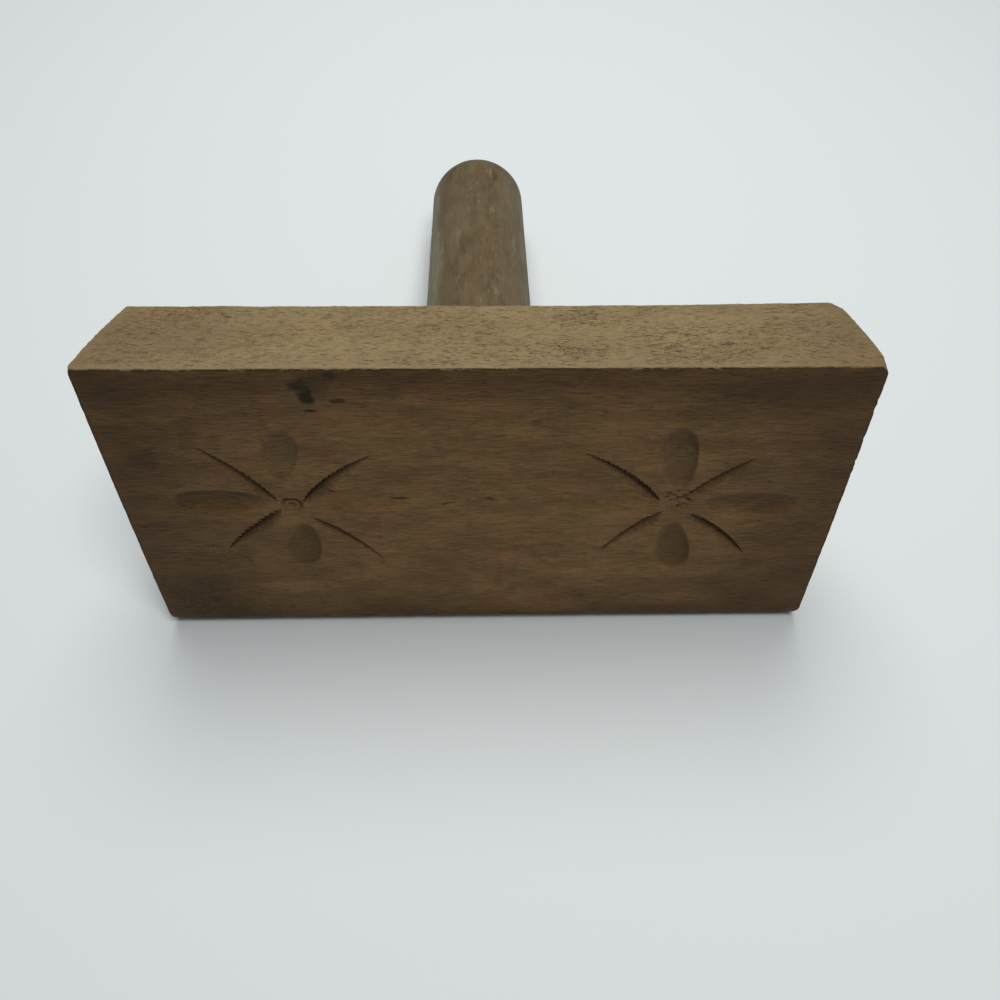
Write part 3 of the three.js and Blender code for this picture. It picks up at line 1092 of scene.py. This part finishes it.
def paintBoard(tree, grain):
    finish = boardFinish
    figure = late, fibres, cloud, fleck = beechFigure(grain, finish["pith"], finish["ringWidth"])
    onFace, cutShadeAndDirt, petalShadeAndTone = mark(tree, "onFace"), mark(tree, "cutShadeAndDirt"), mark(tree, "petalShadeAndTone")
    sideShare = 1.0 - onFace
    masks = {}
    for name, (size, across, detail, rough, low, high) in boardMasks.items():
        masks[name] = noise(grain, (size, across, across), detail, rough).remap(low, high)

    # The face is planed, with a darker rim, and the sides are washed
    wood = planedWood(grain, figure, masks, petalShadeAndTone)
    rim = rimDarkTone(grain)
    faced = blend(rim * finish["rimDarkening"], wood, blend(1.0, wood, finish["rimTint"], "MULTIPLY"))
    washed, sideHeight = washedWood(tree, grain, masks)

    # End grain is darker, and its pores are dots
    pores = cells(grain, (4, 0.32, 0.32)).remap(0.42, 0.2)
    ended = layered(finish, washed, (pores * 0.5, "woodDark"), (late * 0.26, "woodDark"))
    ended = blend(1.0, ended, finish["endTint"], "MULTIPLY")
    colour = blend(mark(tree, "endGrain"), washed, ended)

    # The back kept more of its planed figure, with grime and old glue round the handle
    fromHandle = vectorCalc("LENGTH", vectorCalc("SUBTRACT", grain, (*handleAxis, -boardThickness)))
    grimy = (fromHandle + (cloud - 0.5) * 14.0).remap(30, 12, 0.0, 0.55)
    backed = layered(finish, washed, (0.62, wood), (grimy, "woodDark"), (rim * 0.35, "woodDark"))
    colour = blend(mark(tree, "onBack"), colour, backed)

    # The border between face and top wanders: pale fuzz spills over it, and dark gaps bite into it
    height, top = grain.part("Y"), boardHigh[1]
    brink = height.remap(top - 1.1, top - 0.15, kind="LINEAR")
    facing = (onFace - brink * masks["spilled"] * 0.9).remap(0.25, 0.75)
    colour = useTheFace(tree, grain, blend(facing, colour, faced), onFace, petalShadeAndTone)

    # Painted shade with dirt in the cuts, their pale broken upper lips, scratches, painted shade under the
    # top arris where gaps bite into it, dark lines at both ends of the face, and arrises rubbed pale
    scuffs = strongest(cutShadeAndDirt * -1.8, flatOvals(grain, scuffed)) * masks["specks"]
    # Painted shade just under the top arris, where gaps bite into it
    underArrisShade = height.remap(top - 0.9, top - 0.35) * facing
    worn, along = mark(tree, "wornEdge"), calc("ABSOLUTE", grain.part("X"))
    ends = worn.remap(0.72, 0.95) * along.remap(64.0, 67.0)
    colour = layered(
        finish, colour,
        (cutShadeAndDirt * 0.9, "creviceShadeAndDirt"),
        (scuffs.clamped() * onFace * 0.55, "scuff"),
        (underArrisShade * masks["gaps"] * 0.9, "fleck"),
        (ends * onFace * 0.55, "fleck"),
        (worn * masks["rubbed"] * sideShare * 0.08, "edge"),
    )
    relief = fibres * 0.45 - fleck * 0.35 + sideHeight * sideShare
    roughness = (fibres * 0.18 + sideShare * 0.18 + finish["roughness"]).clamped()
    setSurface(finish, colour, roughness, relief)


boardMaterial = makeMaterial("board_wood", paintBoard)
boardPiece.data.materials.append(boardMaterial)
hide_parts("stamp_board")
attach(boardPiece, "root")
print("board finished")


def nodeGroup(name, values):
    # A Geometry Nodes tree with an input for each value, and the fields of its inputs
    tree = bpy.data.node_groups.new(name, "GeometryNodeTree")
    tree.interface.new_socket("Geometry", in_out="INPUT", socket_type="NodeSocketGeometry")
    for label, value in values.items():
        kind = "NodeSocketInt" if isinstance(value, int) else "NodeSocketFloat"
        tree.interface.new_socket(label, in_out="INPUT", socket_type=kind)
    tree.interface.new_socket("Geometry", in_out="OUTPUT", socket_type="NodeSocketGeometry")
    given = addNode("NodeGroupInput", tree=tree)
    return tree, {label: given.other(label) for label in ("Geometry", *values)}


def finishGroup(body, material):
    body = addNode("GeometryNodeRealizeInstances", {"Geometry": body})
    body = addNode("GeometryNodeSetMaterial", {"Geometry": body, "Material": material})
    addNode("NodeGroupOutput", {0: body})


def bakeNodes(name, starter, tree, values):
    # Runs the tree on the starter mesh, keeps the result as a plain mesh and puts it on the table
    starterPiece = addObject(name, starter)
    modifier = starterPiece.modifiers.new("shape", "NODES")
    modifier.node_group = tree
    for item in tree.interface.items_tree:
        if item.in_out == "INPUT" and item.name in values:
            modifier[item.identifier] = values[item.name]
    bpy.context.view_layer.update()
    ready = starterPiece.evaluated_get(bpy.context.evaluated_depsgraph_get())
    mesh = bpy.data.meshes.new_from_object(ready)
    mesh.name = name
    bpy.data.objects.remove(starterPiece)
    mesh.vertices.foreach_set("co", toTable(meshPoints(mesh)).ravel())
    mesh.update()
    return addObject(name, mesh)


# Raised fibres on the washed long sides: small slivers that lie along the grain, a little lifted
fibreLayer = {
    "Per Square Mm": 1.35,
    "Length": 1.45,
    "Thickness": 0.17,
    "Lift": 0.07,  # rise for each millimetre of length
    "Spread": 0.16,
    "Sunk": 0.07,
    "Patch Size": 9.0,
    "Seed": 21,
}


def washedSides():
    # The board's long sides in millimetres, without their arrises, for the fibres to stand on
    shell = np.array([face for face in faces if len(face) == 4])
    middle = vertices[shell].mean(axis=1)
    deep = -middle[:, 2]
    left, right, low, high = boardEdges(deep, 0)
    onTop = (np.abs(middle[:, 1] - high) < 0.9) & (deep > 1.4) & (deep < boardThickness - 1.2)
    under = (np.abs(middle[:, 1] - low) < 0.9) & (deep > 1.4) & (deep < boardThickness - 4.5)
    inside = (middle[:, 0] > left + 2.8) & (middle[:, 0] < right - 3.0)
    nearKnock = (middle[:, 0] > right - 6.5) & (deep > boardThickness - 6)
    kept = shell[(onTop | under) & inside & ~nearKnock]
    used, index = np.unique(kept, return_inverse=True)
    mesh = bpy.data.meshes.new("washed_sides")
    mesh.from_pydata(vertices[used].tolist(), [], index.reshape(kept.shape).tolist())
    mesh.update()
    return mesh


def fibreTree(material):
    tree, given = nodeGroup("raised_fibres", fibreLayer)

    def randomValue(low, high, step):
        limits = {"Min": low, "Max": high, "Seed": given["Seed"] + step}
        return addNode("FunctionNodeRandomValue", limits, data_type="FLOAT")

    place = addNode("GeometryNodeInputPosition", tree=tree)
    patchScale = 1.0 / given["Patch Size"]
    patch = addNode("ShaderNodeTexNoise", {"Vector": place, "Scale": patchScale, "Detail": 3.0})
    points = addNode("GeometryNodeDistributePointsOnFaces", {
        "Mesh": given["Geometry"], "Density": patch.remap(0.32, 0.62, 0.25, 1.6) * given["Per Square Mm"],
        "Seed": given["Seed"],
    }, distribute_method="RANDOM")
    normal = points.other("Normal")

    # One sliver, four-sided and pointed, along z
    sliver = addNode("GeometryNodeMeshCone", {
        "Vertices": 4, "Radius Top": 0.10, "Radius Bottom": 0.5, "Depth": 1.0,
    }, tree=tree, fill_type="NGON")
    sliver = addNode("GeometryNodeStoreNamedAttribute", {
        "Geometry": sliver, "Name": "fibreTip", "Value": place.part("Z"),
    }, data_type="FLOAT", domain="POINT")

    # Most slivers lift towards the left, as the plane left them
    side = calc("GREATER_THAN", randomValue(0, 1, 1), 0.7) * 2.0 - 1.0
    drift = randomValue(-1, 1, 2) * given["Spread"]
    forward = addNode("ShaderNodeCombineXYZ", {"X": side, "Y": 0.0, "Z": drift})
    up = vectorCalc("SCALE", normal, Scale=randomValue(0.2, 1.5, 3) * given["Lift"])
    way = vectorCalc("ADD", forward, up)
    turned = addNode("FunctionNodeAlignRotationToVector", {"Vector": way}, axis="Z")
    thick = randomValue(0.55, 1.3, 4) * given["Thickness"]
    long = randomValue(0.35, 1.35, 5) * given["Length"]
    size = addNode("ShaderNodeCombineXYZ", {"X": thick, "Y": thick, "Z": long})
    slivers = addNode("GeometryNodeInstanceOnPoints", {
        "Points": points, "Instance": sliver, "Rotation": turned, "Scale": size,
    })
    drop = vectorCalc("SCALE", normal, Scale=given["Sunk"] * -1.0)
    slivers = addNode("GeometryNodeTranslateInstances", {"Instances": slivers, "Translation": drop})
    finishGroup(slivers, material)
    return tree


fibrePiece = bakeNodes("raised_fibres", washedSides(), fibreTree(boardMaterial), fibreLayer)
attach(fibrePiece, "root")
print("fibres raised:", len(fibrePiece.data.polygons), "faces")


# Handle: its profile is turned round its axis by Geometry Nodes, then worn
handleShape = {
    "domeHeight": 11.0,
    "shoulderArris": 0.6,
    "tenonChamfer": 1.2,
    "straightSteps": 40,
    "domeSteps": 24,
}
handleWear = {
    "Around": 160,
    "Along": 300,
    "Wear": 0.16,  # depth of the hand's wear, in millimetres
    "Wear Size": 24.0,
    "Dents": 0.10,
    "Dent Size": 3.2,
    "Seed": 4.0,
}


def handleProfile():
    # Radius and place along the axis, in millimetres, from the tenon's end to the tip
    radius = (handleHigh[0] - handleLow[0]) / 2
    tenon = tenonRadius
    shoulder = -boardThickness - 0.05
    end, dome = handleHigh[2], handleShape["domeHeight"]
    arris, chamfer = handleShape["shoulderArris"], handleShape["tenonChamfer"]
    profile = [(0.0, end), (tenon - chamfer, end), (tenon, end - chamfer), (tenon, shoulder)]
    profile += [(radius - arris, shoulder), (radius - arris * 0.3, shoulder - arris * 0.3)]
    profile.append((radius, shoulder - arris))
    straightEnd = handleLow[2] + dome
    for k in range(1, handleShape["straightSteps"]):
        share = k / handleShape["straightSteps"]
        profile.append((radius, shoulder - arris + (straightEnd - shoulder + arris) * share))
    for k in range(handleShape["domeSteps"] + 1):
        angle = math.pi / 2 * k / handleShape["domeSteps"]
        profile.append((radius * math.cos(angle), straightEnd - dome * math.sin(angle)))
    mesh = bpy.data.meshes.new("handle_profile")
    steps = [(k, k + 1) for k in range(len(profile) - 1)]
    mesh.from_pydata([(radius, 0, along) for radius, along in profile], steps, [])
    return mesh


def turningTree(material):
    tree, given = nodeGroup("turned_handle", handleWear)
    profile = addNode("GeometryNodeMeshToCurve", {"Mesh": given["Geometry"]})
    grid = addNode("GeometryNodeMeshGrid", {
        "Size X": 1.0, "Size Y": 1.0, "Vertices X": given["Around"] + 1, "Vertices Y": given["Along"],
    })
    place = addNode("GeometryNodeInputPosition", tree=tree)
    turn = (0.5 - place.part("X")) * (2 * math.pi)
    share = (place.part("Y") + 0.5).clamped()
    sample = addNode("GeometryNodeSampleCurve", {"Curves": profile, "Factor": share}, mode="FACTOR")
    found = sample.other("Position")
    radius = found.part("X")
    spun = addNode("ShaderNodeCombineXYZ", {
        "X": radius * calc("COSINE", turn), "Y": radius * calc("SINE", turn), "Z": found.part("Z"),
    })
    body = addNode("GeometryNodeSetPosition", {"Geometry": grid, "Position": spun})
    body = addNode("GeometryNodeMergeByDistance", {"Geometry": body, "Distance": 0.004})
    shift = 0.0
    for strength, size, stretch, seedStep in (
        ("Wear", "Wear Size", 2.2, 0.0),
        ("Dents", "Dent Size", 3.0, 9.3),
    ):
        wave = addNode("ShaderNodeTexNoise", {
            "Vector": vectorCalc("MULTIPLY", place, (1.0, 1.0, 1 / stretch)),
            "W": given["Seed"] + seedStep, "Scale": 1.0 / given[size], "Detail": 2.0,
        }, noise_dimensions="4D")
        shift = shift + (wave - 0.7) * given[strength]
    shown = place.part("Z").remap(-boardThickness, -boardThickness - 3.0)
    normal = addNode("GeometryNodeInputNormal", tree=tree)
    offset = vectorCalc("SCALE", normal, Scale=shift * shown)
    body = addNode("GeometryNodeSetPosition", {"Geometry": body, "Offset": offset})
    body = addNode("GeometryNodeSetShadeSmooth", {"Geometry": body})
    aside = addNode("ShaderNodeCombineXYZ", {"X": float(handleAxis[0]), "Y": float(handleAxis[1])}, tree=tree)
    body = addNode("GeometryNodeSetPosition", {"Geometry": body, "Offset": aside})
    finishGroup(body, material)
    return tree


# Finish of the handle
handleFinish = {
    "wood": (0.141, 0.100, 0.049),
    "woodDark": (0.081, 0.056, 0.028),
    "pale": (0.235, 0.182, 0.108),
    "red": (0.118, 0.060, 0.031),
    "olive": (0.108, 0.098, 0.058),
    "fleck": (0.045, 0.029, 0.015),
    "greyAndSheen": (0.228, 0.204, 0.128),  # both flanks, greyed by the hand and painted with the sheen they catch
    "pith": (9, 6),
    "ringWidth": 3.1,
    "roughness": 0.52,
    "specular": 0.2,
    "bump": 0.5,
    "bumpDepth": 0.0003,
}
# Patches on the handle: right, up and out of the face, half sizes, strength, colour
handlePatches = [
    ((-9.1, 10.2, -119.8), (2.2, 2.6, 3.0), 1.0, "red"),
    ((-8.2, 11.0, -122.8), (1.6, 2.4, 1.7), 0.50, "fleck"),
    ((-1.2, 13.0, -124.4), (5.5, 3.0, 2.8), 0.55, "olive"),
    ((7.6, 10.0, -119.5), (2.4, 3.0, 8.0), 0.36, "olive"),
    ((-7.0, 11.6, -94.0), (4.5, 4.0, 12.0), 0.16, "pale"),
    ((2.6, 12.4, -97.4), (0.6, 3.0, 1.9), 0.38, "pale"),
    ((8.0, 9.2, -85.8), (0.5, 3.0, 4.5), 0.40, "pale"),
    ((2.9, 12.3, -58.7), (0.9, 3.0, 2.2), 0.45, "pale"),
    ((-0.5, 13.0, -116.9), (2.3, 3.0, 3.2), 0.42, "red"),
    ((3.4, 12.2, -118.2), (0.7, 3.0, 3.4), 0.65, "fleck"),
    ((2.4, 12.5, -118.7), (0.45, 3.0, 2.8), 0.60, "pale"),
    ((2.6, 12.4, -107.9), (3.4, 3.0, 11.0), 0.26, "woodDark"),
    ((-6.4, 11.9, -84.1), (0.8, 3.0, 5.5), 0.34, "pale"),
    ((-1.4, 13.0, -73.0), (1.7, 3.0, 7.0), 0.30, "red"),
    # A painted highlight on the left flank near the tip
    ((-12.5, 6.1, -111.5), (1.3, 3.0, 5.0), 0.35, "greyAndSheen"),
]


def paintHandle(tree, place):
    # The grain runs along the handle, so its axes are turned before the figure is drawn.
    finish = handleFinish
    right, up, out = (place.part(name) for name in "XYZ")
    grain = addNode("ShaderNodeCombineXYZ", {"X": out, "Y": right, "Z": up})
    late, fibres, _, fleck = beechFigure(grain, finish["pith"], finish["ringWidth"])
    mottle = noise(grain, (7, 3, 3), 5, 0.72)
    strands = noise(grain, (8, 0.8, 0.8), 4, 0.7)
    tone = fibres * 0.34 + mottle * 0.58 + strands * 0.18
    reddish = noise(grain, (16, 6, 6), 3, 0.6).remap(0.52, 0.70)

    # The greyed strip on the left, partly painted sheen, narrows towards the tip
    sideways = right - float(handleAxis[0]) + (mottle - 0.5) * 6.0
    leftward = sideways + out.remap(-78.0, -108.0, 0.0, 1.7)
    flank = strongest(
        leftward.remap(-8.3, -10.2, 0.0, 0.80),
        sideways.remap(10.4, 12.2, 0.0, 0.5),
        sideways.remap(3.0, 8.0, 0.0, 0.16),
    )
    flank = flank * strands.remap(0.36, 0.62, 0.55, 1.0) * up.remap(-4.0, 5.5, 0.18, 1.0)
    colour = layered(
        finish, finish["woodDark"],
        (tone.remap(0.39, 0.66), "wood"),
        (late * 0.16, "woodDark"),
        (flank, "greyAndSheen"),
        (reddish * 0.25, "red"),
    )
    moved = bentPlaces(place, (2.2, 2.2, 4.0), 4.0, (3.0, 3.0, 5.0))
    for at, size, strength, name in handlePatches:
        colour = blend(farFrom(moved, at, size).remap(1.25, 0.35, 0.0, strength), colour, finish[name])

    # Sparse pale scratches and dark specks
    for sizes, channel, last, name, strength in (
        ((3.6, 1.1, 1.1), "Red", 0.97, "pale", 0.36),
        ((1.6, 0.7, 0.7), "Blue", 0.98, "fleck", 0.6),
    ):
        cell = cells(grain, sizes)
        speck = cell.remap(0.42, 0.15) * cell.other("Color").part(channel).remap(0.90, last)
        colour = blend(speck * strength, colour, finish[name])
    colour = blend(fleck * 0.34, colour, finish["fleck"])
    relief = fibres * 0.5 + mottle * 0.4 + strands * 0.5 - fleck * 0.4
    setSurface(finish, colour, mottle * 0.25 + finish["roughness"], relief)


handleMaterial = makeMaterial("handle_wood", paintHandle)
handlePiece = bakeNodes("turned_handle", handleProfile(), turningTree(handleMaterial), handleWear)
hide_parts("handle")
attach(handlePiece, "root")
print("handle turned:", len(handlePiece.data.polygons), "faces")


# Table top and light
setting = {
    "floorSize": 6.0,
    "floorColour": (0.70, 0.735, 0.735),
    "backLamp": {"place": (-0.01, 0.26, 0.70), "size": 0.48, "power": 3.75, "aim": (0, 0.02, 0.02)},
    "frontLamp": {"place": (0.16, -0.20, 0.78), "size": 0.30, "power": 2.5, "aim": (0, -0.04, 0.02)},
    "worldStrength": 0.12,
    "worldColour": (0.92, 0.96, 1.0),
}


def makeFloor():
    half = setting["floorSize"] / 2
    mesh = bpy.data.meshes.new("table_top")
    corners = [(-half, -half, 0), (half, -half, 0), (half, half, 0), (-half, half, 0)]
    mesh.from_pydata(corners, [], [(0, 1, 2, 3)])
    material = bpy.data.materials.new("pale_table")
    material.use_nodes = True
    surface = material.node_tree.nodes["Principled BSDF"]
    surface.inputs["Base Color"].default_value = (*setting["floorColour"], 1)
    surface.inputs["Roughness"].default_value = 0.7
    surface.inputs["Specular IOR Level"].default_value = 0.2
    mesh.materials.append(material)
    addObject("table_top", mesh)


def makeLamp(name, lampSet):
    lamp = bpy.data.lights.new(name, "AREA")
    lamp.shape = "DISK"
    lamp.size = lampSet["size"]
    lamp.energy = lampSet["power"]
    toAim = Vector(lampSet["aim"]) - Vector(lampSet["place"])
    turn = toAim.to_track_quat("-Z", "Y").to_matrix().to_4x4()
    addObject(name, lamp).matrix_world = Matrix.Translation(lampSet["place"]) @ turn


def makeLight():
    makeLamp("back_lamp", setting["backLamp"])
    makeLamp("front_lamp", setting["frontLamp"])
    world = bpy.data.worlds.new("studio")
    world.use_nodes = True
    background = world.node_tree.nodes["Background"]
    background.inputs["Color"].default_value = (*setting["worldColour"], 1)
    background.inputs["Strength"].default_value = setting["worldStrength"]
    bpy.context.scene.world = world
    bpy.context.scene.view_settings.view_transform = "Standard"


makeFloor()
makeLight()
print("table and light set")
